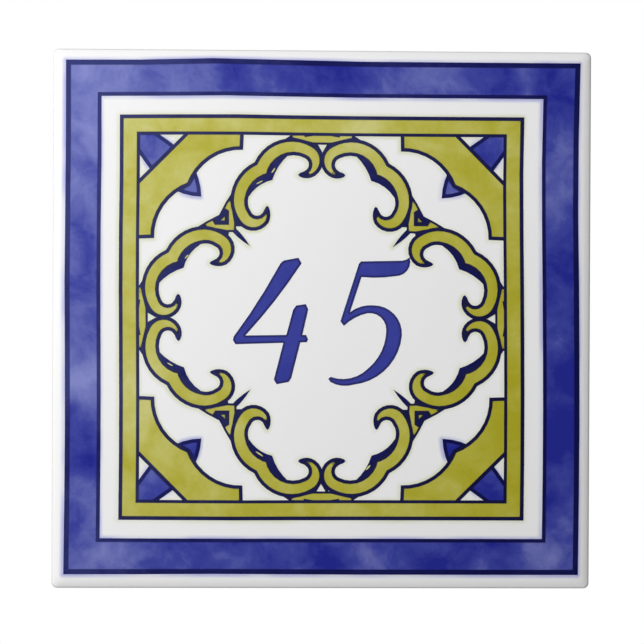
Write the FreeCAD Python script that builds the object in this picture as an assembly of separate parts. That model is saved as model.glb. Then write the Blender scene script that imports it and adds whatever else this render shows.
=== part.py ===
import FreeCAD, Part
import math
import os

# A square ceramic house number tile, glazed white, with painted frames, scrollwork and the number 45.
# Its back lies on the wall plane y = 0 and its painted face looks along -y, with z up and x to the right.
# The painting is drawn flat, with y up the face, and stood up against the face of the tile.
# All sizes are in millimetres.

# The fired tile
tile_width = 152.4
tile_height = 152.4
tile_thickness = 7.0
corner_radius = 1.5
crown_width = 3.4
crown_slope = 22.0
edge_roll = 0.8
side_draft = 0.25

# The grid pressed into the unglazed back
back_rim = 8.2
rib_width = 2.4
pocket_depth = 0.8
pocket_slope = 0.4
pocket_columns = 6
pocket_rows = 6

# The painting: dark shapes first, then the colours over them, each a film of this thickness
film_thickness = 0.06

# How far the short straight strokes of an outline may leave its arcs
stroke_height = 0.05

# The painted frames, from the edge of the tile inwards
edge_margin = 3.45
blue_outer_line = 1.4
blue_band_width = 7.8
blue_inner_line = 1.0
white_band_width = 5.25
yellow_outer_line = 1.05
yellow_band_width = 3.8
panel_line = 0.85

# The ornament inside the frames
ornament_line = 1.0
thin_line = 0.6
number_height = 36.05

# How far the hand painting strays from the true pattern: a shift, a sway up the face, a bulge left of the
# middle that is strongest at the top, and a pinch above the middle
shift_right = -0.12
shift_up = 0.38
edge_shift_right = 0.35
sway_right = 0.2
sway_length = 130.0
edge_bulge_up = 0.6
top_bulge_up = 0.3
bulge_left_of_middle = 27.0
bulge_length = 20.0
squeeze_up = 0.14
stretch_right = 0.12
pinch_right = 0.36
pinch_above_middle = 42.0

# Straight strokes in each side of a frame
side_stops = 7

# Half the width of the panel that the ornament below is drawn for, and the height of the drawn number.
drawn_panel = 51.575
drawn_number = 36.3

# Half sizes of the frame lines, from the outside inwards, measured from the middle of the tile.
line_insets = [edge_margin]
for width in (blue_outer_line, blue_band_width, blue_inner_line, white_band_width,
              yellow_outer_line, yellow_band_width, panel_line):
    line_insets.append(line_insets[-1] + width)
(blue_edge, blue_band_edge, blue_inside_edge, blue_end,
 yellow_edge, yellow_band_edge, panel_line_edge, panel_edge) = line_insets

panel_half_width = tile_width / 2 - panel_edge
panel_half_height = tile_height / 2 - panel_edge
scale_x = panel_half_width / drawn_panel
scale_y = panel_half_height / drawn_panel


# Points of the drawing

def strayed(x, y):
    """Move a point of the face by the slow wander of the painter's hand."""
    across = 2 * x / tile_width
    upward = 2 * y / tile_height
    reach = max(abs(across), abs(upward)) ** 6
    bulge = math.exp(-((x + bulge_left_of_middle) / bulge_length) ** 2)
    pinch = math.exp(-((y - pinch_above_middle) / bulge_length) ** 2)
    dx = shift_right + reach * edge_shift_right - sway_right * math.sin(2 * math.pi * y / sway_length)
    dx += across * (stretch_right - pinch_right * pinch)
    dy = shift_up + reach * edge_bulge_up * bulge + upward * (top_bulge_up * bulge - squeeze_up)
    return FreeCAD.Vector(x + dx, y + dy, 0)


def in_octant(octant):
    """Give the function that places a point (u, v) of the ornament in one of the eight octants.

    The ornament is drawn for the octant right of the top centre, where u runs to the right and v up.
    """
    side, flipped = divmod(octant, 2)

    def place(u, v):
        if flipped:
            u = -u
        for quarter in range(side):
            u, v = v, -u
        return strayed(u * scale_x, v * scale_y)

    return place


def strokes(here, through, there):
    """Give the points after the first of an arc through three points, cut with short straight strokes."""
    return Part.Arc(here, through, there).toShape().discretize(Deflection=stroke_height)[1:]


def outline(start, steps, place):
    """Close a wire through steps of one point, a straight line, or two points, an arc through the first."""
    first = place(*start)
    points = [first]
    for step in steps:
        there = place(*step[-1])
        if len(step) == 1:
            points.append(there)
        else:
            points.extend(strokes(points[-1], place(*step[0]), there))
    if points[-1].distanceToPoint(first) < stroke_height:
        points.pop()
    return Part.makePolygon(points + [first])


def mirrored(steps, start):
    """Continue steps from start to a point on the corner's diagonal with their mirror image across it."""
    points = [start]
    for step in steps:
        points.extend(step)
    sizes = [len(step) for step in steps]
    back = [(v, u) for u, v in reversed(points)][1:]
    result = list(steps)
    for size in reversed(sizes):
        result.append(tuple(back[:size]))
        back = back[size:]
    return result


# Figures of the ornament, in millimetres from the middle of the drawn panel

scroll_start = (19.1, 43.9)
scroll_steps = [
    ((13.2, 49.8), (2.6, 49.3)),
    ((-0.35, 44.8), (1.9, 40.3)),
    ((4.0, 39.55), (6.3, 40.0)),
    ((6.7, 40.55),),
    ((6.1, 41.1),),
    ((5.0, 41.5), (4.1, 42.2)),
    ((3.7, 43.7), (4.9, 45.25)),
    ((10.9, 45.4), (14.95, 40.0)),
    ((19.3, 37.3), (20.75, 34.0)),
    ((20.9, 32.2), (20.1, 30.1)),
    ((18.4, 28.8), (16.7, 29.6)),
    ((15.8, 31.3),),
    ((15.35, 31.65),),
    ((14.95, 31.2),),
    ((14.5, 29.2), (15.0, 26.9)),
    ((19.0, 24.55), (23.6, 26.7)),
    ((25.1, 29.4), (25.85, 33.0)),
    ((23.6, 40.1), (19.1, 43.9)),
]

crescent_start = (9.5, 46.1)
crescent_steps = [
    ((12.3, 42.8), (14.05, 38.95)),
    ((17.6, 37.4), (20.6, 34.3)),
    ((21.1, 34.8),),
    ((20.3, 37.2),),
    ((16.4, 40.1),),
    ((14.1, 44.2),),
]

bracket_start = (37.75, 53.1)
bracket_steps = [
    ((22.2, 53.1),),
    ((22.4, 47.35),),
    ((31.0, 45.1), (37.3, 37.3)),
]

leaf_start = (53.1, 53.1)
leaf_steps = [
    ((48.0, 53.1),),
    ((41.2, 48.2),),
    ((44.7, 44.7),),
]

bud_start = (34.1, 34.1)
bud_steps = [
    ((34.5, 37.5), (35.9, 41.6)),
    ((38.0, 38.0),),
]

bridge_start = (29.0, 29.0)
bridge_steps = [
    ((27.45, 32.0), (25.2, 35.7)),
    ((24.6, 29.4),),
    ((24.1, 26.8),),
    ((24.2, 24.2),),
]

knot_start = (26.2, 26.2)
knot_steps = [
    ((26.2, 30.15),),
    ((27.9, 31.25),),
    ((29.0, 29.0),),
]

thorn_start = (20.2, 20.2)
thorn_steps = [
    ((22.5, 23.4), (24.6, 25.6)),
    ((25.1, 25.1),),
]

cap_start = (-9.3, 53.1)
cap_steps = [
    ((-8.9, 50.6),),
    ((-2.6, 49.1),),
    ((2.6, 49.1),),
    ((8.9, 50.6),),
    ((9.3, 53.1),),
]

eye_start = (27.4, 27.4)
eye_steps = [
    ((27.4, 28.5),),
    ((28.5, 27.4),),
]

shade_start = (0.4, 51.9)
shade_steps = [
    ((4.9, 51.2),),
    ((5.2, 51.9),),
]

# The two figures of the number, drawn where they stand on the face
four_start = (-11.0, 16.75)
four_steps = [
    ((-6.9, 17.55),),
    ((-5.95, 16.0),),
    ((-13.9, 4.8), (-21.9, -4.65)),
    ((-10.2, -4.45),),
    ((-8.3, 2.7),),
    ((-7.4, 3.95),),
    ((-4.7, 4.35),),
    ((-4.0, 2.9),),
    ((-5.65, -4.45),),
    ((-4.6, -4.4),),
    ((-4.0, -5.75),),
    ((-4.4, -6.5),),
    ((-6.2, -6.55),),
    ((-8.75, -16.7),),
    ((-9.5, -17.85),),
    ((-12.9, -18.5),),
    ((-13.7, -17.2),),
    ((-11.05, -6.7),),
    ((-24.7, -7.15),),
    ((-25.4, -6.0),),
    ((-25.2, -5.0),),
    ((-18.3, 5.1), (-12.5, 15.0)),
    ((-11.9, 16.0),),
]

five_start = (11.0, 16.6)
five_steps = [
    ((22.6, 16.85),),
    ((23.9, 17.15), (24.9, 17.75)),
    ((24.3, 14.2), (20.9, 12.45)),
    ((16.0, 12.0), (11.15, 12.15)),
    ((7.9, 2.1),),
    ((10.8, 3.65), (14.6, 4.1)),
    ((20.3, 1.85), (22.75, -4.5)),
    ((19.2, -13.1), (9.0, -18.55)),
    ((5.6, -18.85), (2.4, -17.8)),
    ((1.8, -16.9),),
    ((2.5, -16.35),),
    ((8.0, -16.75), (13.2, -13.9)),
    ((17.3, -8.2), (18.3, -3.0)),
    ((16.7, 0.7), (12.9, 1.85)),
    ((9.3, 0.5), (6.2, -1.8)),
    ((5.2, -0.5),),
    ((10.4, 15.9),),
]


# Films of glaze, drawn flat

def film(wire):
    """Give the film of glaze that fills a closed outline."""
    return Part.Face(wire).extrude(FreeCAD.Vector(0, 0, film_thickness))


def joined(films):
    """Melt films that overlap or touch into one."""
    whole = films[0]
    if len(films) > 1:
        whole = whole.fuse(films[1:])
    return whole.removeSplitter()


def inside_line(wire, line):
    """Give the film left inside a closed outline when a line along its inner edge stays bare."""
    shrunk = wire.makeOffset2D(-line, 2)
    return Part.makeCompound([film(part) for part in shrunk.Wires])


def rectangle(inset):
    """Give the film inside a painted rectangle inset from the tile's edges, whose sides stray a little."""
    x = tile_width / 2 - inset
    y = tile_height / 2 - inset
    corners = [(-x, y), (x, y), (x, -y), (-x, -y)]
    points = []
    for side in range(4):
        start = corners[side - 1]
        end = corners[side]
        for stop in range(side_stops):
            share = stop / side_stops
            points.append(strayed(start[0] + share * (end[0] - start[0]), start[1] + share * (end[1] - start[1])))
    return film(Part.makePolygon(points + points[:1]))


def ring(outer_inset, inner_inset):
    """Give the band between two painted rectangles."""
    return rectangle(outer_inset).cut(rectangle(inner_inset))


# The ornament: each figure is a dark shape, with its colour laid over all but the line at its edge

def paint_scrolls():
    """Draw a scroll and its crescent-shaped shadow in each octant."""
    dark = []
    yellow = []
    for octant in range(8):
        place = in_octant(octant)
        scroll = outline(scroll_start, scroll_steps, place)
        crescent = outline(crescent_start, crescent_steps, place)
        dark.extend([film(scroll), film(crescent)])
        yellow.append(inside_line(scroll, ornament_line))
    return joined(dark), yellow


def corner_figure(start, steps, quarter):
    """Draw a figure that lies the same on both sides of a corner's diagonal."""
    return outline(start, mirrored(steps, start), in_octant(2 * quarter))


def paint_corners(scrolls):
    """Draw the bracket, leaf, bud, bridge and thorn of each corner of the panel."""
    dark = []
    yellow = []
    blue = []
    for quarter in range(4):
        bracket = corner_figure(bracket_start, bracket_steps, quarter)
        bridge = corner_figure(bridge_start, bridge_steps, quarter)
        knot = film(corner_figure(knot_start, knot_steps, quarter))
        thorn = film(corner_figure(thorn_start, thorn_steps, quarter))
        eye = film(outline(eye_start, eye_steps, in_octant(2 * quarter)))
        dark.extend([film(bracket), film(bridge), thorn])
        yellow.append(inside_line(bracket, ornament_line))
        yellow.append(inside_line(bridge, thin_line).cut([scrolls, knot]))
        yellow.append(eye)
        for start, steps in ((leaf_start, leaf_steps), (bud_start, bud_steps)):
            leaf = corner_figure(start, steps, quarter)
            dark.append(film(leaf))
            blue.append(inside_line(leaf, ornament_line).cut(film(bracket)))
    return dark, yellow, blue


def paint_caps(scrolls):
    """Draw the strip that ties each pair of scrolls to the middle of the panel's line."""
    dark = []
    yellow = []
    for side in range(4):
        cap = outline(cap_start, cap_steps, in_octant(2 * side))
        shades = [film(outline(shade_start, shade_steps, in_octant(2 * side + half))) for half in range(2)]
        dark.append(film(cap))
        yellow.append(inside_line(cap, thin_line).cut([scrolls] + shades))
    return dark, yellow


def paint_number():
    """Draw the figures 4 and 5, which grow about the middle of the face."""
    size = number_height / drawn_number

    def place(x, y):
        return FreeCAD.Vector(x * size, y * size, 0)

    return [film(outline(start, steps, place)) for start, steps in
            ((four_start, four_steps), (five_start, five_steps))]


def paint():
    """Give the name, layer and films of every painted piece. No two films of one layer overlap."""
    panel = rectangle(panel_edge)
    panel_to_line = rectangle((panel_line_edge + panel_edge) / 2)
    number = paint_number()
    scrolls, scroll_yellow = paint_scrolls()
    corner_dark, corner_yellow, blue = paint_corners(scrolls)
    cap_dark, cap_yellow = paint_caps(scrolls)

    figures = joined([scrolls] + corner_dark + cap_dark).common(panel_to_line)
    panel_dark = joined([figures, ring(yellow_edge, panel_edge)]).cut(number)
    yellow = Part.makeCompound(scroll_yellow + corner_yellow + cap_yellow).common(panel).cut(number)
    leaves = Part.makeCompound(blue).common(panel).cut(number)
    return [
        ("outlines", 0, [ring(blue_edge, blue_end), panel_dark]),
        ("number", 0, number),
        ("blue_frame", 1, [ring(blue_band_edge, blue_inside_edge)]),
        ("blue_leaves", 1, [leaves]),
        ("yellow_frame", 1, [ring(yellow_band_edge, panel_line_edge)]),
        ("yellow_ornament", 1, [yellow]),
    ]


# The fired tile

def tapered_block(width, height, depth, back_inset):
    """Give a block from y = -depth to the wall plane, centred on x = z = 0, its back face inset all round."""
    x = width / 2
    z = height / 2
    return Part.makeWedge(-x, -depth, -z, back_inset - z, back_inset - x,
                          x, 0, z, z - back_inset, x - back_inset)


def pocket_grid():
    """Give the pockets of the back, which leave a rim all round and a rib through the middle."""
    pitch_x = (tile_width - 2 * back_rim + rib_width) / pocket_columns
    pitch_z = (tile_height - 2 * back_rim + rib_width) / pocket_rows
    floor_width = pitch_x - rib_width - 2 * pocket_slope
    floor_height = pitch_z - rib_width - 2 * pocket_slope
    pockets = []
    for column in range(pocket_columns):
        for row in range(pocket_rows):
            pocket = tapered_block(floor_width, floor_height, pocket_depth, -pocket_slope)
            pocket.translate(FreeCAD.Vector((column - (pocket_columns - 1) / 2) * pitch_x, 0,
                                            (row - (pocket_rows - 1) / 2) * pitch_z))
            pockets.append(pocket)
    return Part.makeCompound(pockets)


def crown_cutter(half, length):
    """Give what is cut from a side at x = half, so that the face falls in a soft crown to a rolled edge."""
    slope = math.radians(crown_slope)
    crown_radius = (crown_width - edge_roll * (1 - math.sin(slope))) / math.sin(slope)
    crown_start = FreeCAD.Vector(half - crown_width, -tile_thickness, 0)
    crown_centre = crown_start + FreeCAD.Vector(0, crown_radius, 0)

    def around(centre, radius, angle):
        return centre + FreeCAD.Vector(radius * math.sin(angle), -radius * math.cos(angle), 0)

    join = around(crown_centre, crown_radius, slope)
    roll_centre = around(join, -edge_roll, slope)
    side = around(roll_centre, edge_roll, math.pi / 2)
    crown = Part.Arc(crown_start, around(crown_centre, crown_radius, slope / 2), join).toShape()
    roll = Part.Arc(join, around(roll_centre, edge_roll, (slope + math.pi / 2) / 2), side).toShape()
    outside = FreeCAD.Vector(side.x + crown_width, side.y, 0)
    ahead = FreeCAD.Vector(0, -tile_thickness, 0)
    waste_side = Part.makePolygon([side, outside, outside + ahead, crown_start + ahead, crown_start])
    profile = Part.Face(Part.Wire([crown, roll] + waste_side.Edges))
    cutter = profile.extrude(FreeCAD.Vector(0, 0, length))
    cutter.translate(FreeCAD.Vector(0, 0, -length / 2))
    return cutter


def fired_tile():
    """Press the tile: sides that taper to the back, a crowned front edge and a grid of pockets behind."""
    block = tapered_block(tile_width, tile_height, tile_thickness, side_draft)
    corners = [edge for edge in block.Edges if edge.BoundBox.YLength > tile_thickness / 2]
    cutters = [pocket_grid()]
    for side, (half, length) in enumerate([(tile_width / 2, tile_height), (tile_height / 2, tile_width)] * 2):
        cutter = crown_cutter(half, length)
        cutter.rotate(FreeCAD.Vector(0, 0, 0), FreeCAD.Vector(0, 1, 0), 90 * side)
        cutters.append(cutter)
    return block.makeFillet(corner_radius, corners).cut(cutters)


# Writing the pieces

def stood_up(films, layer):
    """Stand flat films up against the face of the tile, over as many layers as lie under them."""
    upright = Part.makeCompound([solid for part in films for solid in part.Solids])
    upright.rotate(FreeCAD.Vector(0, 0, 0), FreeCAD.Vector(1, 0, 0), 90)
    upright.translate(FreeCAD.Vector(0, -tile_thickness - layer * film_thickness, 0))
    return upright


def main():
    os.makedirs("parts", exist_ok=True)
    pieces = {"tile": fired_tile()}
    for name, layer, films in paint():
        pieces[name] = stood_up(films, layer)
    for name, piece in pieces.items():
        piece.exportStep("parts/" + name + ".step")
        print(name, "solids", len(piece.Solids), "volume", round(piece.Volume, 2))


main()
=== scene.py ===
import math
import bpy
import numpy as np
from mathutils import Matrix, Vector
from mathutils.bvhtree import BVHTree
from mathutils.geometry import delaunay_2d_cdt
from mathutils.kdtree import KDTree


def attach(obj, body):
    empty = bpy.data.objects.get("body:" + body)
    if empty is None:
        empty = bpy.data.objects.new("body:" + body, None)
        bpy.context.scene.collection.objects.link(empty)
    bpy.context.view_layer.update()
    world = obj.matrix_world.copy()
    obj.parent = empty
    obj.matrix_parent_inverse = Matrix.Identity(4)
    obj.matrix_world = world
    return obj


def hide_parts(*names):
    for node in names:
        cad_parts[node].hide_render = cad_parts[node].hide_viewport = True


# A square ceramic house number tile with painted frames, scrollwork and the number 45.
# Every painted piece keeps the outline of its CAD solid and gets a finer mesh, which knows how far each of
# its points lies from the edges of the paint. The materials turn these distances into bleeding colours.

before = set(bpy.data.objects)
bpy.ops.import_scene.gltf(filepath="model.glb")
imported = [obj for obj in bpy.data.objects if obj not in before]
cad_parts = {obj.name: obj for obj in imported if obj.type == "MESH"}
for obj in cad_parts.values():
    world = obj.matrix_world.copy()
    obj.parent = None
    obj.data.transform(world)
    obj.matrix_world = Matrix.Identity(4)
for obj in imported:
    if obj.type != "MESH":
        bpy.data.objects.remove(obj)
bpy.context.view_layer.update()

MM = 0.001

# The tile, with the sizes of the CAD part, in millimetres
FACE_HALF = 76.2
THICKNESS = 7.0
CORNER_RADIUS = 1.5
CROWN_WIDTH = 3.4
CROWN_SLOPE = math.radians(22.0)
EDGE_ROLL = 0.8
SIDE_DRAFT = 0.25
BACK_RIM = 8.2
RIB_WIDTH = 2.4
POCKET_DEPTH = 0.8
POCKET_SLOPE = 0.4
POCKET_ROUND = 0.9
POCKETS = 6

# How the walls of a pocket go down: shares of the slope and of the depth, with a soft foot
POCKET_PROFILE = [(0.25, 0.12), (0.6, 0.5), (0.9, 0.88), (1.4, 1.0)]

# Places of the loops round the sides, as shares of the way to the back, and how much the back edge is worn
SIDE_SHARES = (0.33, 0.66, 0.95)
BACK_WEAR = 0.15

# Spacing of the mesh points on the face, in the paint and round the pockets, and the gap below which two points
# are one, in millimetres
FACE_STEP = 0.62
PAINT_STEP = 0.42
POCKET_STEP = 3.0
SAME_PLACE = 1e-5

# Steps of the mesh over the crown, over the rolled edge and round each corner
CROWN_STEPS = 6
ROLL_STEPS = 6
CORNER_STEPS = 8

# Rows of mesh points keep this many steps from a film's edge, and reach this many steps under another film
EDGE_CLEARANCE = 0.45
UNDERLAP = 1.5

# Films are laid with their fronts and backs at these levels to measure them, which makes their walls tall
LAID_FRONT = 0.0
LAID_BACK = 1.0

BLUE_NODES = ["blue_frame", "blue_leaves"]
YELLOW_NODES = ["yellow_frame", "yellow_ornament"]


# Reading the outlines of the CAD films

def film_parts(node):
    """Give a film's points, the triangles of its front, the triangles of its walls, and its y levels."""
    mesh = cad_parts[node].data
    points = [vertex.co / MM for vertex in mesh.vertices]
    mesh.calc_loop_triangles()
    front_y = min(point.y for point in points)
    back_y = max(point.y for point in points)
    middle_y = (front_y + back_y) / 2
    front = []
    walls = []
    for triangle in mesh.loop_triangles:
        levels = [points[index].y for index in triangle.vertices]
        if max(levels) < middle_y:
            front.append(tuple(triangle.vertices))
        elif min(levels) < middle_y:
            walls.append(tuple(triangle.vertices))
    return points, front, walls, front_y, back_y


class Film:
    """The painted area of one or more CAD films, seen flat along y."""

    def __init__(self, nodes):
        points = []
        front = []
        walls = []
        for node in nodes:
            more, node_front, node_walls, self.front_y, self.back_y = film_parts(node)
            first = len(points)
            middle_y = (self.front_y + self.back_y) / 2
            for point in more:
                level = LAID_FRONT if point.y < middle_y else LAID_BACK
                points.append(Vector((point.x, level, point.z)))
            front.extend([tuple(index + first for index in triangle) for triangle in node_front])
            walls.extend([tuple(index + first for index in triangle) for triangle in node_walls])
        self.points = points
        self.front = front
        self.front_tree = BVHTree.FromPolygons(points, front)
        self.wall_tree = BVHTree.FromPolygons(points, walls)

    def covers(self, x, z):
        """Say whether a place on the face lies under the film."""
        place, _, _, _ = self.front_tree.ray_cast(Vector((x, LAID_FRONT - 1.0, z)), Vector((0, 1, 0)))
        return place is not None

    def distance(self, x, z):
        """Give the distance from a place on the face to the nearest edge of the film."""
        _, _, _, distance = self.wall_tree.find_nearest(Vector((x, (LAID_FRONT + LAID_BACK) / 2, z)))
        return distance

    def edges(self):
        """Give the points and the edge pairs of the film's outline, without doubled points."""
        places = {}
        merged = []
        number_of = []
        for point in self.points:
            key = (round(point.x, 3), round(point.z, 3))
            if key not in places:
                places[key] = len(merged)
                merged.append(key)
            number_of.append(places[key])
        count = {}
        for triangle in self.front:
            corners = [number_of[index] for index in triangle]
            for start, end in zip(corners, corners[1:] + corners[:1]):
                if start != end:
                    pair = (min(start, end), max(start, end))
                    count[pair] = count.get(pair, 0) + 1
        return merged, [pair for pair, uses in count.items() if uses == 1]


# Meshing a flat area

def divided(points, pairs, step):
    """Divide the edges of an outline so that none is longer than a step."""
    places = [Vector(point) for point in points]
    result = []
    for start, end in pairs:
        length = (places[end] - places[start]).length
        count = max(1, math.ceil(length / step))
        last = start
        for number in range(1, count):
            places.append(places[start].lerp(places[end], number / count))
            result.append((last, len(places) - 1))
            last = len(places) - 1
        result.append((last, end))
    return places, result


def grid_points(film, step, hidden_by=()):
    """Give evenly spaced places inside a film, apart from those well under other films."""
    xs = [point.x for point in film.points]
    zs = [point.z for point in film.points]
    result = []
    for row in range(math.floor(min(zs) / step), math.ceil(max(zs) / step) + 1):
        shift = 0.5 * (row % 2)
        for column in range(math.floor(min(xs) / step), math.ceil(max(xs) / step) + 1):
            x = (column + shift) * step
            z = row * step
            if not film.covers(x, z) or film.distance(x, z) < EDGE_CLEARANCE * step:
                continue
            if any(other.covers(x, z) and other.distance(x, z) > UNDERLAP * step for other in hidden_by):
                continue
            result.append(Vector((x, z)))
    return result


def flat_mesh(places, pairs, inside):
    """Triangulate places joined by edge pairs, and keep the triangles whose middle passes the inside test."""
    verts, edges, faces, origins, _, _ = delaunay_2d_cdt(places, pairs, [], 0, SAME_PLACE)
    kept = []
    for face in faces:
        middle = sum((verts[index] for index in face), Vector((0, 0))) / len(face)
        if inside(middle.x, middle.y):
            a, b, c = (verts[index] for index in face)
            if (b - a).cross(c - a) < 0:
                face = [face[0], face[2], face[1]]
            kept.append(tuple(face))
    return verts, kept


def rims(faces):
    """Give the directed edges that only one triangle uses."""
    used = set()
    for face in faces:
        used.update(zip(face, face[1:] + face[:1]))
    return [(start, end) for start, end in used if (end, start) not in used]


class Solid:
    """Gathers points, faces and the values kept at each point, and makes one object of them."""

    def __init__(self):
        self.points = []
        self.faces = []
        self.smooth = []
        self.values = {}

    def add(self, points, faces, smooth=True, **values):
        """Add points in millimetres with faces between them, and return the number of the first point."""
        first = len(self.points)
        self.points.extend(points)
        self.faces.extend([tuple(index + first for index in face) for face in faces])
        self.smooth.extend([smooth] * len(faces))
        for name, numbers in values.items():
            kept = self.values.setdefault(name, {})
            kept.update({first + place: value for place, value in enumerate(numbers)})
        return first

    def join(self, faces, smooth=True):
        """Add faces between points that are there already."""
        self.faces.extend(faces)
        self.smooth.extend([smooth] * len(faces))

    def make(self, name, surface):
        """Make the object, in metres, with its values as attributes."""
        mesh = bpy.data.meshes.new(name)
        mesh.from_pydata([(x * MM, y * MM, z * MM) for x, y, z in self.points], [], self.faces)
        mesh.polygons.foreach_set("use_smooth", self.smooth)
        for value_name, kept in self.values.items():
            numbers = np.zeros(len(self.points), dtype=np.float32)
            numbers[list(kept.keys())] = list(kept.values())
            mesh.attributes.new(value_name, "FLOAT", "POINT").data.foreach_set("value", numbers)
        mesh.update()
        made = bpy.data.objects.new(name, mesh)
        bpy.context.scene.collection.objects.link(made)
        made.data.materials.append(surface)
        return made


# The painted pieces

# The eye in the knot of the top right quarter and its reach, and how far out the ties begin, in millimetres
KNOT_EYE = (27.7, 28.0)
EYE_REACH = 2.5
TIE_START = 48.0

# Paint this deep shows no dark edge, and a part this wide keeps its full colour. The width at a point is the
# greatest depth of paint within reach of it.
FULL_DEPTH = 0.5
FULL_WIDTH = 1.0
WIDTH_REACH = 1.1

# How much the clouds of the wash show in the drawn lines
LINE_CLOUDS = 0.3


def stays_bright(x, z):
    """Say whether a place lies in a tie or in the eye of a knot, whose thin parts keep their colour."""
    in_eye = abs(abs(x) - KNOT_EYE[0]) < EYE_REACH and abs(abs(z) - KNOT_EYE[1]) < EYE_REACH
    return in_eye or max(abs(x), abs(z)) > TIE_START


def widths_around(verts, depth):
    """Give how wide the paint is around each point, which is little at thin tips."""
    tree = KDTree(len(verts))
    for place, vert in enumerate(verts):
        tree.insert((vert.x, vert.y, 0.0), place)
    tree.balance()
    widths = []
    for vert in verts:
        around = tree.find_range((vert.x, vert.y, 0.0), WIDTH_REACH)
        widest = max(depth[near] for _, near, _ in around)
        widths.append(FULL_WIDTH if stays_bright(vert.x, vert.y) else widest)
    return widths


def place_key(vert):
    """Give a place on the face as a key that finds the same place in another mesh."""
    return round(vert.x, 4), round(vert.y, 4)


def paint_piece(name, node, film, surface, hidden_by=()):
    """Make the fine mesh of one film, with each point's distance to the film's edge."""
    merged, pairs = film.edges()
    places, pairs = divided(merged, pairs, PAINT_STEP)
    inner = grid_points(film, PAINT_STEP, hidden_by)
    verts, faces = flat_mesh(places + inner, pairs, film.covers)
    depth = [film.distance(vert.x, vert.y) for vert in verts]
    clouds = LINE_CLOUDS if node == "outlines" else 1.0
    # The wash holds clouds of thin and thick paint and also painted light that makes the paint paler to the top
    # left
    wash = [wash_and_painted_light(vert.x, vert.y, clouds) for vert in verts]
    beside = [yellow_paint.distance(vert.x, vert.y) for vert in verts]
    solid = Solid()
    front = solid.add([(vert.x, film.front_y, vert.y) for vert in verts], faces, smooth=False,
                      depth=depth, wash=wash, yellow=beside, width=widths_around(verts, depth))
    backs, back_faces = flat_mesh(places, pairs, film.covers)
    back = solid.add([(vert.x, film.back_y, vert.y) for vert in backs], [face[::-1] for face in back_faces],
                     smooth=False, wash=[wash_and_painted_light(vert.x, vert.y) for vert in backs])
    number_of = {place_key(vert): back + place for place, vert in enumerate(backs)}
    walls = []
    for start, end in rims(faces):
        back_start = number_of[place_key(verts[start])]
        back_end = number_of[place_key(verts[end])]
        walls.append((front + end, front + start, back_start, back_end))
    solid.join(walls, smooth=False)
    made = solid.make(name, surface)
    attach(made, "root")
    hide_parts(node)


# Painted light: how much paler the paint is made towards the right edge and the top edge, as a share of the
# wash
PAINTED_LIGHT_SLOPE = (-0.2, 0.1)

# Where the blue and yellow washes lie thin or thick: places on the face in millimetres, each with a reach and
# a share
THIN_WASH = [
    (-66, 66, 13, 0.18), (-68, -17, 8, 0.35), (-60, -68, 8, 0.25), (17, -68, 7, 0.2), (31, 68, 9, 0.12),
    (68, 42, 14, 0.3), (66, -65, 12, 0.5), (-36, 37, 4, 0.25), (36, 37, 4, 0.15), (10, 54, 11, 0.3),
    (-54, -22, 13, 0.25), (20, -54, 14, 0.12),
]
THICK_WASH = [
    (0, 70, 13, 0.42), (-25, 69, 7, 0.35), (68, 66, 8, 0.15), (-70, -36, 11, 0.33), (69, -25, 26, 0.15),
    (0, -68, 7, 0.3), (-42, -69, 7, 0.1), (-68, 8, 8, 0.18), (-36, -37, 4, 0.2), (36, -37, 4, 0.1),
]


def wash_and_painted_light(x, z, clouds=1.0):
    """Say how thin the wash of colour lies at a place in a few clouds, with painted light that makes it paler
    to the top left.
    """
    total = (PAINTED_LIGHT_SLOPE[0] * x + PAINTED_LIGHT_SLOPE[1] * z) / FACE_HALF
    for sign, spots in ((clouds, THIN_WASH), (-clouds, THICK_WASH)):
        for spot_x, spot_z, reach, share in spots:
            total += sign * share * math.exp(-((x - spot_x) ** 2 + (z - spot_z) ** 2) / reach ** 2)
    return total


# Materials

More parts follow.
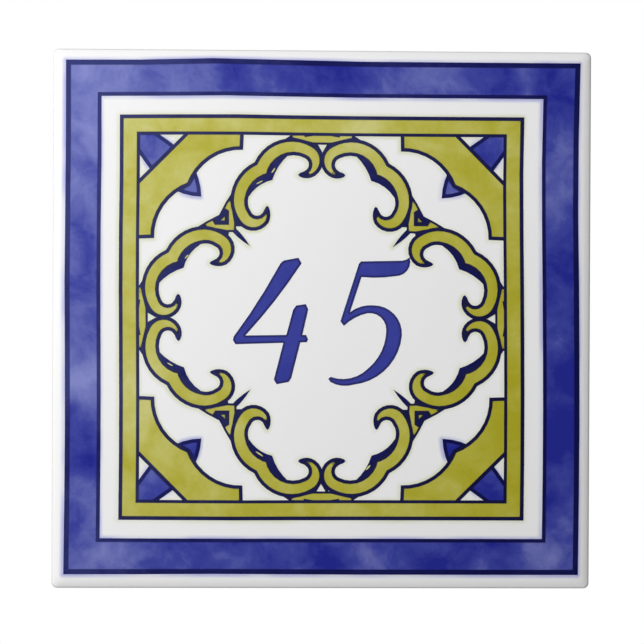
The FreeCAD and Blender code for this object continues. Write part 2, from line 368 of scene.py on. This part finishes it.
class Surface:
    """Builds one material around a Principled shader."""

    def __init__(self, name, roughness, gloss):
        self.material = bpy.data.materials.new(name)
        self.material.use_nodes = True
        self.nodes = self.material.node_tree.nodes
        self.links = self.material.node_tree.links
        self.shader = self.nodes["Principled BSDF"]
        self.shader.inputs["Roughness"].default_value = roughness
        self.shader.inputs["Specular IOR Level"].default_value = gloss
        self.place = self.nodes.new("ShaderNodeTexCoord").outputs["Object"]

    def put(self, value, socket):
        """Set a socket to a number or colour, or link it to another socket."""
        if isinstance(value, bpy.types.NodeSocket):
            self.links.new(value, socket)
        else:
            socket.default_value = value

    def value(self, name):
        """Read a value kept at the points of the mesh."""
        reader = self.nodes.new("ShaderNodeAttribute")
        reader.attribute_name = name
        return reader.outputs["Fac"]

    def noise(self, size, detail, rough=0.55, bend=0.0):
        """Give a cloudy pattern whose patches are about size millimetres wide."""
        cloud = self.nodes.new("ShaderNodeTexNoise")
        cloud.inputs["Scale"].default_value = 1 / (size * MM)
        cloud.inputs["Detail"].default_value = detail
        cloud.inputs["Roughness"].default_value = rough
        cloud.inputs["Distortion"].default_value = bend
        self.links.new(self.place, cloud.inputs["Vector"])
        return cloud.outputs["Fac"]

    def math(self, kind, first, second=0.0, third=0.0, clamp=False):
        """Work out a sum, product or other step on one to three values."""
        step = self.nodes.new("ShaderNodeMath")
        step.operation = kind
        step.use_clamp = clamp
        for value, socket in zip((first, second, third), step.inputs):
            self.put(value, socket)
        return step.outputs[0]

    def spread(self, value, low, high, to_low=0.0, to_high=1.0):
        """Map a value that goes from low to high to a new range, with soft ends."""
        mapping = self.nodes.new("ShaderNodeMapRange")
        mapping.interpolation_type = "SMOOTHSTEP"
        for name, number in (("From Min", low), ("From Max", high), ("To Min", to_low), ("To Max", to_high)):
            mapping.inputs[name].default_value = number
        self.put(value, mapping.inputs["Value"])
        return mapping.outputs["Result"]

    def mix(self, share, first, second):
        """Mix two colours. The node's sockets for colours are its inputs 6 and 7 and its output 2."""
        mixing = self.nodes.new("ShaderNodeMix")
        mixing.data_type = "RGBA"
        self.put(share, mixing.inputs[0])
        self.put(first, mixing.inputs[6])
        self.put(second, mixing.inputs[7])
        return mixing.outputs[2]

    def ramp(self, value, stops):
        """Turn a value into a colour by stops of place and colour."""
        colours = self.nodes.new("ShaderNodeValToRGB")
        while len(colours.color_ramp.elements) < len(stops):
            colours.color_ramp.elements.new(0.5)
        for element, (place, colour) in zip(colours.color_ramp.elements, stops):
            element.position = place
            element.color = colour
        self.put(value, colours.inputs["Fac"])
        return colours.outputs["Color"]

    def bump(self, height, strength, distance):
        """Give the surface a fine relief from a height value."""
        relief = self.nodes.new("ShaderNodeBump")
        relief.inputs["Strength"].default_value = strength
        relief.inputs["Distance"].default_value = distance
        self.put(height, relief.inputs["Height"])
        self.links.new(relief.outputs["Normal"], self.shader.inputs["Normal"])

    def colour(self, value):
        """Set the base colour and return the finished material."""
        self.put(value, self.shader.inputs["Base Color"])
        return self.material


def rgb(red, green, blue):
    """Turn a screen colour of 0 to 255 into the linear colour that the shader takes."""
    linear = []
    for level in (red, green, blue):
        share = level / 255
        linear.append(share / 12.92 if share <= 0.04045 else ((share + 0.055) / 1.055) ** 2.4)
    return (*linear, 1.0)


GLAZE_ROUGHNESS = 0.36
GLAZE_GLOSS = 0.08
WHITE = rgb(239, 239, 239)
NAVY = rgb(10, 12, 78)
NIGHT_BLUE = rgb(20, 21, 56)
CONTOUR_BLUE = rgb(36, 38, 88)
BLUE_STAIN = rgb(120, 126, 214)
# Grey of the painted shade over the crown, the rolled edge and the glazed sides
YELLOW_STAIN = rgb(204, 208, 152)
EDGE_SHADE_GREY = rgb(188, 187, 180)
CLAY_DARK = rgb(206, 199, 188)
CLAY_PALE = rgb(224, 219, 210)
FLOOR_WHITE = rgb(235, 235, 235)

# The ripple of the glaze: its width in millimetres, its strength and its height in metres
RIPPLE_WIDTH = 7.0
RIPPLE_STRENGTH = 0.12
RIPPLE_HEIGHT = 0.0006

# How far blue and yellow have bled into the white glaze, in millimetres, and how strongly beside the paint
BLUE_BLEED_REACH = 1.35
BLUE_BLEED = 0.42
YELLOW_BLEED_REACH = 1.4
YELLOW_BLEED = 0.38

# Where, along y in metres, painted shade begins faintly on the crown and deepens over the rolled edge, and
# where the glaze ends on the sides, each from start to full, and how far the line where it ends wanders
CROWN_SHADES = (-0.00698, -0.0066)
EDGE_SHADE_LEVELS = (-0.00655, -0.0059)
GLAZE_ENDS = (-0.0012, -0.0009)
GLAZE_END_WANDER = 0.0022
CLAY_ROUGHNESS = 0.85
CLAY_GRAIN = 0.35


def glaze_ripple(surface):
    """Let the glaze lie a little unevenly, as fired glaze does."""
    surface.bump(surface.noise(RIPPLE_WIDTH, detail=2.0), RIPPLE_STRENGTH, RIPPLE_HEIGHT)


def clouded(surface, patch, strength, start, share):
    """Give a value near start that wanders with clouds of colour and with the wash of the piece, which also
    carries painted light.
    """
    cloud = surface.math("SUBTRACT", surface.noise(patch, detail=5.0, rough=0.6, bend=0.3), 0.5)
    raised = surface.math("MULTIPLY_ADD", cloud, strength, start)
    return surface.math("MULTIPLY_ADD", surface.value("wash"), share, raised, clamp=True)


def blue_material():
    """The thin blue wash of the wide frame and the leaves."""
    surface = Surface("blue_wash", GLAZE_ROUGHNESS, GLAZE_GLOSS)
    thinness_and_light = clouded(surface, patch=10.0, strength=1.35, start=0.36, share=1.0)
    tone = surface.ramp(thinness_and_light, [(0.0, rgb(31, 37, 138)), (0.35, rgb(62, 69, 156)),
                                   (1.0, rgb(128, 134, 195))])
    edge = surface.spread(surface.value("depth"), 0.0, 0.25, to_low=0.5, to_high=0.0)
    glaze_ripple(surface)
    return surface.colour(surface.mix(edge, tone, NAVY))


def yellow_material():
    """The ochre yellow of the narrow frame and the scrolls."""
    surface = Surface("yellow_wash", GLAZE_ROUGHNESS, GLAZE_GLOSS)
    thinness_and_light = clouded(surface, patch=9.0, strength=1.6, start=0.45, share=1.3)
    tone = surface.ramp(thinness_and_light, [(0.0, rgb(168, 162, 37)), (0.35, rgb(178, 173, 64)),
                                   (0.7, rgb(190, 186, 96)), (1.0, rgb(201, 199, 126))])
    edge = surface.spread(surface.value("depth"), 0.0, 0.2, to_low=0.4, to_high=0.0)
    thin_tip = surface.spread(surface.value("width"), 0.3, 0.48, to_low=1.0, to_high=0.0)
    glaze_ripple(surface)
    return surface.colour(surface.mix(surface.math("MAXIMUM", edge, thin_tip), tone, NIGHT_BLUE))


def line_material():
    """The dark blue drawn lines, a little paler where the colour lies thin and with painted light to the top
    left, and greyer beside yellow.
    """
    surface = Surface("dark_line", GLAZE_ROUGHNESS, GLAZE_GLOSS)
    # The wash weighs most here, so the painted light makes the lines much paler to the top left
    thinness_and_light = clouded(surface, patch=6.0, strength=0.7, start=0.47, share=2.2)
    blue = surface.ramp(thinness_and_light, [(0.0, rgb(2, 4, 66)), (0.5, rgb(20, 23, 86)), (1.0, rgb(52, 57, 114))])
    grey = surface.ramp(thinness_and_light, [(0.0, rgb(8, 8, 42)), (0.5, rgb(27, 28, 64)), (1.0, rgb(54, 57, 90))])
    beside_yellow = surface.spread(surface.value("yellow"), 0.3, 1.6, to_low=0.8, to_high=0.0)
    glaze_ripple(surface)
    return surface.colour(surface.mix(beside_yellow, blue, grey))


def number_material():
    """The blue of the two figures, darker along their edges."""
    surface = Surface("number_blue", GLAZE_ROUGHNESS, GLAZE_GLOSS)
    thinness_and_light = clouded(surface, patch=8.0, strength=1.0, start=0.5, share=1.0)
    tone = surface.ramp(thinness_and_light, [(0.2, rgb(50, 56, 144)), (0.8, rgb(63, 69, 156))])
    edge = surface.spread(surface.value("depth"), 0.3, 0.8, to_low=0.85, to_high=0.0)
    glaze_ripple(surface)
    return surface.colour(surface.mix(edge, tone, CONTOUR_BLUE))


def tile_material():
    """White glaze with colour that has bled into it beside the paint, painted shade over the crown, the rolled
    edge and the sides, and bare clay at the back.
    """
    surface = Surface("white_glaze_and_clay", GLAZE_ROUGHNESS, GLAZE_GLOSS)
    bleed = surface.value("bleed")
    blueness = surface.value("blueness")
    uneven = surface.spread(surface.noise(22.0, detail=2.0), 0.35, 0.65, to_low=0.5, to_high=1.5)
    blue_bleed = surface.spread(bleed, 0.0, BLUE_BLEED_REACH, to_low=BLUE_BLEED, to_high=0.0)
    blue_bleed = surface.math("MULTIPLY", blue_bleed, blueness)
    yellow_bleed = surface.spread(bleed, 0.0, YELLOW_BLEED_REACH, to_low=YELLOW_BLEED, to_high=0.0)
    yellow_bleed = surface.math("MULTIPLY", yellow_bleed, surface.math("SUBTRACT", 1.0, blueness))
    glazed = surface.mix(surface.math("MULTIPLY", yellow_bleed, uneven), WHITE, YELLOW_STAIN)
    glazed = surface.mix(surface.math("MULTIPLY", blue_bleed, uneven), glazed, BLUE_STAIN)
    clay_grain = surface.noise(1.2, detail=6.0, rough=0.7)
    clay = surface.mix(surface.spread(clay_grain, 0.3, 0.7), CLAY_DARK, CLAY_PALE)
    split = surface.nodes.new("ShaderNodeSeparateXYZ")
    surface.links.new(surface.place, split.inputs[0])
    level = split.outputs["Y"]
    # Painted shade: the glaze is greyed a little over the crown and much more over the rolled edge and the
    # sides
    painted_edge_shade = surface.math("MAXIMUM", surface.spread(level, *EDGE_SHADE_LEVELS, to_high=0.75),
                              surface.spread(level, *CROWN_SHADES, to_high=0.05))
    glazed = surface.mix(painted_edge_shade, glazed, EDGE_SHADE_GREY)
    end = surface.math("MULTIPLY_ADD", surface.noise(9.0, detail=3.0), GLAZE_END_WANDER, level)
    bare = surface.spread(end, *GLAZE_ENDS)
    surface.put(surface.spread(bare, 0.0, 1.0, to_low=GLAZE_ROUGHNESS, to_high=CLAY_ROUGHNESS),
                surface.shader.inputs["Roughness"])
    ripple = surface.noise(RIPPLE_WIDTH, detail=2.0)
    ripple = surface.math("MULTIPLY", ripple, surface.math("SUBTRACT", 1.0, bare))
    grain = surface.math("MULTIPLY", surface.math("MULTIPLY", clay_grain, CLAY_GRAIN), bare)
    surface.bump(surface.math("ADD", ripple, grain), RIPPLE_STRENGTH, RIPPLE_HEIGHT)
    return surface.colour(surface.mix(bare, glazed, clay))


# The body of the tile

# How far the bled colour is shifted left and down, how softly blue bleed gives way to yellow bleed, and a
# distance from the paint at which there is no bleed
BLEED_LEFT = 0.2
BLEED_DOWN = 0.1
BLEED_BLEND = 0.4
NO_BLEED = 9.0


def rounded_square(half, radius, step):
    """Give the points of a square with round corners, counterclockwise seen from the front."""
    inset = half - radius
    centres = [(inset, inset, 0), (-inset, inset, 90), (-inset, -inset, 180), (inset, -inset, 270)]
    points = []
    for number, (x, z, turn) in enumerate(centres):
        for part in range(CORNER_STEPS + 1):
            angle = math.radians(turn + 90 * part / CORNER_STEPS)
            points.append((x + radius * math.cos(angle), z + radius * math.sin(angle)))
        next_x, next_z, next_turn = centres[(number + 1) % 4]
        start = points[-1]
        angle = math.radians(next_turn)
        end = (next_x + radius * math.cos(angle), next_z + radius * math.sin(angle))
        count = max(1, round(math.dist(start, end) / step))
        for part in range(1, count):
            share = part / count
            points.append((start[0] + share * (end[0] - start[0]), start[1] + share * (end[1] - start[1])))
    return points


def in_rounded_square(x, z, half, radius):
    """Say whether a place lies within the loop of a rounded square that has its middle at the origin."""
    across = abs(x) - half + radius
    up = abs(z) - half + radius
    chord = radius * math.cos(math.pi / 4 / CORNER_STEPS)
    return max(across, up) < radius and (min(across, up) < 0 or math.hypot(across, up) < chord)


def ring_faces(outer, inner, count):
    """Give the quads between two loops of the same number of points, facing the front."""
    faces = []
    for place in range(count):
        after = (place + 1) % count
        faces.append((outer + place, outer + after, inner + after, inner + place))
    return faces


def face_values(verts, dark, blue, yellow):
    """Give, for points of the white face, how far the paint is and whether its colour is blue."""
    bleed = []
    blueness = []
    for x, z in verts:
        bleed.append(dark.distance(x + BLEED_LEFT, z + BLEED_DOWN))
        difference = yellow.distance(x, z) - blue.distance(x, z)
        blueness.append(1 / (1 + math.exp(-difference / BLEED_BLEND)))
    return bleed, blueness


def pocket_places():
    """Give the middle and half sizes of every pocket pressed into the back."""
    whole = 2 * (FACE_HALF - BACK_RIM)
    size = (whole - (POCKETS - 1) * RIB_WIDTH) / POCKETS
    for row in range(POCKETS):
        for column in range(POCKETS):
            x = -whole / 2 + size / 2 + column * (size + RIB_WIDTH)
            z = -whole / 2 + size / 2 + row * (size + RIB_WIDTH)
            yield x, z, size / 2


def edge_levels():
    """Give the inset and the depth of each loop that runs round the crown and the rolled edge."""
    crown_radius = (CROWN_WIDTH - EDGE_ROLL * (1 - math.sin(CROWN_SLOPE))) / math.sin(CROWN_SLOPE)
    levels = []
    for step in range(CROWN_STEPS + 1):
        angle = CROWN_SLOPE * step / CROWN_STEPS
        levels.append((CROWN_WIDTH - crown_radius * math.sin(angle), crown_radius * (1 - math.cos(angle))))
    crown_depth = levels[-1][1]
    for step in range(1, ROLL_STEPS + 1):
        angle = CROWN_SLOPE + (math.pi / 2 - CROWN_SLOPE) * step / ROLL_STEPS
        levels.append((EDGE_ROLL * (1 - math.sin(angle)),
                       crown_depth + EDGE_ROLL * (math.cos(CROWN_SLOPE) - math.cos(angle))))
    return levels


def side_levels(start):
    """Give the inset and the depth of each loop that runs round the tapered sides, with a worn back edge."""
    levels = []
    for share in SIDE_SHARES:
        depth = start + share * (THICKNESS - start)
        levels.append((SIDE_DRAFT * depth / THICKNESS, depth))
    levels.append((SIDE_DRAFT + BACK_WEAR, THICKNESS))
    return levels


def tile_face(solid, dark, blue, yellow):
    """Add the flat of the painted face, and return the number of its first rim point and its rim."""
    half = FACE_HALF - CROWN_WIDTH
    rim = rounded_square(half, CORNER_RADIUS, FACE_STEP)
    clear = 0.4 * FACE_STEP
    rows = int((half - clear) / FACE_STEP)
    inner = [Vector((column * FACE_STEP, row * FACE_STEP))
             for row in range(-rows, rows + 1)
             for column in range(-rows, rows + 1)
             if in_rounded_square(column * FACE_STEP, row * FACE_STEP, half - clear, CORNER_RADIUS - clear)]
    pairs = [(place, (place + 1) % len(rim)) for place in range(len(rim))]
    verts, faces = flat_mesh([Vector(point) for point in rim] + inner, pairs, lambda x, z: True)
    bleed, blueness = face_values(verts, dark, blue, yellow)
    first = solid.add([(vert.x, -THICKNESS, vert.y) for vert in verts], faces, bleed=bleed, blueness=blueness)
    return first, rim


def tile_pocket(solid, rim, x, z, half):
    """Add the sloping walls and the floor of one pocket, from the points of its rim on the back."""
    size = len(rim)
    places = [solid.points[index] for index in rim]
    for share, depth in POCKET_PROFILE:
        shrink = (half - share * POCKET_SLOPE) / half
        ring = solid.add([(x + (px - x) * shrink, -depth * POCKET_DEPTH, z + (pz - z) * shrink)
                          for px, _, pz in places], [], bleed=[NO_BLEED] * size)
        solid.join([(rim[place - 1], ring + (place - 1) % size, ring + place, rim[place])
                    for place in range(size)])
        rim = [ring + place for place in range(size)]
    solid.join([tuple(rim[::-1])])


def tile_back(solid, edge):
    """Add the back with its grid of pockets, from the points of its edge."""
    places = [Vector((solid.points[index][0], solid.points[index][2])) for index in edge]
    pairs = [(place, (place + 1) % len(edge)) for place in range(len(edge))]
    pockets = []
    for x, z, half in pocket_places():
        loop = rounded_square(half, POCKET_ROUND, POCKET_STEP)
        first = len(places)
        places.extend(Vector((x + u, z + v)) for u, v in loop)
        pairs.extend((first + place, first + (place + 1) % len(loop)) for place in range(len(loop)))
        pockets.append((x, z, half, range(first, first + len(loop))))

    def on_back(x, z):
        """Say whether a place lies on the ribs or the rim of the back."""
        return not any(in_rounded_square(x - px, z - pz, half, POCKET_ROUND) for px, pz, half, _ in pockets)

    verts, faces = flat_mesh(places, pairs, on_back)
    first = solid.add([(vert.x, 0.0, vert.y) for vert in verts], [], bleed=[NO_BLEED] * len(verts))
    number_of = {first + place: index for place, index in enumerate(edge)}
    solid.join([tuple(number_of.get(first + place, first + place) for place in face[::-1]) for face in faces],
               smooth=False)
    for x, z, half, loop in pockets:
        tile_pocket(solid, [first + place for place in loop], x, z, half)


def tile_body(surface, dark, blue, yellow):
    """Make the white tile: flat face, crowned edge, tapered sides and the pressed grid of the back."""
    solid = Solid()
    last, rim = tile_face(solid, dark, blue, yellow)
    count = len(rim)
    rolled = edge_levels()
    for inset, depth in rolled[1:] + side_levels(rolled[-1][1]):
        grown = (FACE_HALF - inset) / (FACE_HALF - CROWN_WIDTH)
        loop = [(x * grown, z * grown) for x, z in rim]
        bleed, blueness = face_values(loop, dark, blue, yellow)
        ring = solid.add([(x, depth - THICKNESS, z) for x, z in loop], [], bleed=bleed, blueness=blueness)
        solid.join(ring_faces(ring, last, count))
        last = ring
    tile_back(solid, [last + place for place in range(count)])
    made = solid.make("glazed_tile", surface)
    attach(made, "root")
    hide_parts("tile")


films = {node: Film([node]) for node in ["outlines", "number"] + BLUE_NODES + YELLOW_NODES}
blue_paint = Film(BLUE_NODES)
yellow_paint = Film(YELLOW_NODES)

blue_wash = blue_material()
yellow_wash = yellow_material()
dark_line = line_material()

tile_body(tile_material(), films["outlines"], blue_paint, yellow_paint)
paint_piece("drawn_lines", "outlines", films["outlines"], dark_line,
            (blue_paint, yellow_paint))
paint_piece("figures_45", "number", films["number"], number_material())
paint_piece("blue_band", "blue_frame", films["blue_frame"], blue_wash)
paint_piece("blue_leaf_fields", "blue_leaves", films["blue_leaves"], blue_wash)
paint_piece("yellow_band", "yellow_frame", films["yellow_frame"], yellow_wash)
paint_piece("yellow_scrolls", "yellow_ornament", films["yellow_ornament"], yellow_wash)


# Fine strokes that the solids leave out: flares at the ends of the four ties, fuller corners where two
# scrolls meet or a scroll meets a knot, and pale slits left open in the shades of some scrolls

# The y levels of the strokes, in millimetres: their fronts lie between the drawn lines and the colour fields
STROKE_FRONT = -7.09
FILL_BACK = -7.0
SLIT_BACK = -7.03

# Outlines of the dark strokes for a panel with its middle at the origin, and the place of the true middle
FLARE = [(-8.3, 51.75), (-8.3, 50.6), (-11.2, 50.2), (-8.9, 51.7)]
MEETING = [(-2.5, 49.4), (-1.45, 49.4), (-0.02, 46.9), (-0.1, 46.2)]
NOTCHES = [[(-24.1, 28.72), (-22.54, 25.85), (-24.65, 25.85), (-24.6, 28.6)],
           [(-28.4, 24.24), (-26.57, 22.74), (-26.3, 24.45), (-28.15, 24.6)]]
STROKE_SHIFT = (-0.15, 0.38)

# The slits as places on the face, each with a length, an angle in degrees and a width
SLITS = [(-14.0, 42.1, 1.7, 55, 0.4), (-17.9, 38.7, 2.1, 27, 0.32), (-38.4, 17.6, 1.5, 50, 0.36),
         (-42.95, -12.85, 1.8, -29, 0.34), (-17.6, -38.1, 2.5, -33, 0.42), (13.2, -41.9, 1.9, 47, 0.5)]
SLIT_POINTS = 12
SLIT_PALENESS = 0.5


def around_the_panel(shape):
    """Give a stroke of the top side at both ends of all four sides."""
    for cosine, sine in ((1, 0), (0, 1), (-1, 0), (0, -1)):
        for mirror in (1, -1):
            yield [(mirror * x * cosine + z * sine + STROKE_SHIFT[0],
                    z * cosine - mirror * x * sine + STROKE_SHIFT[1]) for x, z in shape]


def in_four_quarters(shape):
    """Give a stroke of the top left quarter in all four quarters."""
    for across in (1, -1):
        for up in (1, -1):
            yield [(across * x + STROKE_SHIFT[0], up * z + STROKE_SHIFT[1]) for x, z in shape]


def slit(x, z, length, angle, width):
    """Give the outline of a thin lens at a place, turned by an angle in degrees."""
    cosine = math.cos(math.radians(angle))
    sine = math.sin(math.radians(angle))
    points = []
    for part in range(SLIT_POINTS):
        around = 2 * math.pi * part / SLIT_POINTS
        u = length / 2 * math.cos(around)
        v = width / 2 * math.sin(around)
        points.append((x + u * cosine - v * sine, z + u * sine + v * cosine))
    return points


def strokes_piece(name, outlines, back_y, surface, paleness):
    """Make thin flat strokes from their outlines, each turned so that its front faces forwards."""
    solid = Solid()
    for outline in outlines:
        doubled_area = sum(a[0] * b[1] - b[0] * a[1] for a, b in zip(outline, outline[1:] + outline[:1]))
        if doubled_area < 0:
            outline = outline[::-1]
        count = len(outline)
        # The wash holds clouds of thin and thick paint and also painted light that makes the paint paler to the
        # top left
        wash = [paleness + wash_and_painted_light(x, z, LINE_CLOUDS) for x, z in outline]
        beside = [yellow_paint.distance(x, z) for x, z in outline]
        front = solid.add([(x, STROKE_FRONT, z) for x, z in outline], [tuple(range(count))], smooth=False,
                          depth=[FULL_DEPTH] * count, wash=wash, yellow=beside, width=[FULL_WIDTH] * count)
        back = solid.add([(x, back_y, z) for x, z in outline], [tuple(range(count))[::-1]], smooth=False)
        solid.join([(back + place, back + (place + 1) % count, front + (place + 1) % count, front + place)
                    for place in range(count)], smooth=False)
    made = solid.make(name, surface)
    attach(made, "root")


corner_fills = [outline for shape in (FLARE, MEETING) for outline in around_the_panel(shape)]
corner_fills += [outline for shape in NOTCHES for outline in in_four_quarters(shape)]
pale_slits = [slit(*sizes) for sizes in SLITS]
strokes_piece("corner_strokes", corner_fills, FILL_BACK, dark_line, 0.0)
strokes_piece("shade_slits", pale_slits, SLIT_BACK, yellow_wash, SLIT_PALENESS)


# Floor, world and lights

FLOOR_LEVEL = -0.45
FLOOR_REACH = 6.0
FLOOR_GLOW = 0.45
FLOOR_FADE = (0.9, 2.2)
WORLD_LEVEL = 0.11
KEY_PLACE = (-0.49, -0.5, 0.32)
KEY_SIZE = 0.3
KEY_POWER = 5.65


def camera_sees(nodes):
    """Give a value that is 1 for what the camera sees itself or in a gloss or through glass."""
    path = nodes.new("ShaderNodeLightPath")
    first = nodes.new("ShaderNodeMath")
    first.operation = "MAXIMUM"
    second = nodes.new("ShaderNodeMath")
    second.operation = "MAXIMUM"
    links = nodes.id_data.links
    links.new(path.outputs["Is Camera Ray"], first.inputs[0])
    links.new(path.outputs["Is Glossy Ray"], first.inputs[1])
    links.new(first.outputs[0], second.inputs[0])
    links.new(path.outputs["Is Transmission Ray"], second.inputs[1])
    return second.outputs[0]


def make_world(level):
    """Light everything softly, and show plain white behind."""
    world = bpy.data.worlds.new("studio")
    world.use_nodes = True
    nodes = world.node_tree.nodes
    links = world.node_tree.links
    nodes.clear()
    soft = nodes.new("ShaderNodeBackground")
    soft.inputs["Color"].default_value = (1, 1, 1, 1)
    soft.inputs["Strength"].default_value = level
    white = nodes.new("ShaderNodeBackground")
    white.inputs["Color"].default_value = (1, 1, 1, 1)
    white.inputs["Strength"].default_value = 1.0
    chosen = nodes.new("ShaderNodeMixShader")
    links.new(camera_sees(nodes), chosen.inputs[0])
    links.new(soft.outputs[0], chosen.inputs[1])
    links.new(white.outputs[0], chosen.inputs[2])
    out = nodes.new("ShaderNodeOutputWorld")
    links.new(chosen.outputs[0], out.inputs["Surface"])
    bpy.context.scene.world = world


def make_floor():
    """Lay a pale floor that keeps a shadow near the tile and fades to white far away."""
    mesh = bpy.data.meshes.new("floor")
    signs = ((-1, -1), (1, -1), (1, 1), (-1, 1))
    corners = [(across * FLOOR_REACH, back * FLOOR_REACH, FLOOR_LEVEL) for across, back in signs]
    mesh.from_pydata(corners, [], [(0, 1, 2, 3)])
    floor = bpy.data.objects.new("floor", mesh)
    bpy.context.scene.collection.objects.link(floor)
    surface = Surface("floor_white", roughness=0.9, gloss=0.0)
    surface.colour(FLOOR_WHITE)
    nodes = surface.nodes
    links = surface.links
    glow = nodes.new("ShaderNodeEmission")
    surface.put(surface.math("MULTIPLY", camera_sees(nodes), FLOOR_GLOW), glow.inputs["Strength"])
    near = nodes.new("ShaderNodeAddShader")
    links.new(surface.shader.outputs[0], near.inputs[0])
    links.new(glow.outputs[0], near.inputs[1])
    white = nodes.new("ShaderNodeEmission")
    white.inputs["Strength"].default_value = 1.0
    length = nodes.new("ShaderNodeVectorMath")
    length.operation = "LENGTH"
    links.new(surface.place, length.inputs[0])
    far = nodes.new("ShaderNodeMixShader")
    links.new(surface.spread(length.outputs["Value"], *FLOOR_FADE), far.inputs[0])
    links.new(near.outputs[0], far.inputs[1])
    links.new(white.outputs[0], far.inputs[2])
    links.new(far.outputs[0], nodes["Material Output"].inputs["Surface"])
    mesh.materials.append(surface.material)


def soft_light(name, place, size, power):
    """Hang a square soft light that looks at the middle of the tile."""
    lamp = bpy.data.lights.new(name, "AREA")
    lamp.shape = "SQUARE"
    lamp.size = size
    lamp.energy = power
    held = bpy.data.objects.new(name, lamp)
    held.location = place
    held.rotation_euler = (-Vector(place)).to_track_quat("-Z", "Y").to_euler()
    bpy.context.scene.collection.objects.link(held)


make_world(WORLD_LEVEL)
make_floor()
soft_light("key", KEY_PLACE, KEY_SIZE, KEY_POWER)


# The camera, found from where the corners of the tile lie in the photograph

CAMERA_LENS = 135.0
CAMERA_AIM = Vector((0.00016, 0.0, -0.00074))
CAMERA_DISTANCE = 0.6906
CAMERA_YAW = math.radians(1.66)
CAMERA_PITCH = math.radians(0.18)
CAMERA_ROLL = math.radians(0.258)

ahead = Vector((math.sin(CAMERA_YAW) * math.cos(CAMERA_PITCH), math.cos(CAMERA_YAW) * math.cos(CAMERA_PITCH),
                -math.sin(CAMERA_PITCH)))
level = ahead.cross(Vector((0, 0, 1))).normalized()
upward = level.cross(ahead)
right = level * math.cos(CAMERA_ROLL) + upward * math.sin(CAMERA_ROLL)
above = upward * math.cos(CAMERA_ROLL) - level * math.sin(CAMERA_ROLL)
camera = bpy.data.objects.new("camera", bpy.data.cameras.new("camera"))
camera.data.lens = CAMERA_LENS
turned = Matrix((right, above, -ahead)).transposed().to_4x4()
camera.matrix_world = Matrix.Translation(CAMERA_AIM - ahead * CAMERA_DISTANCE) @ turned
bpy.context.scene.collection.objects.link(camera)
bpy.context.scene.camera = camera
bpy.context.scene.view_settings.view_transform = "Standard"
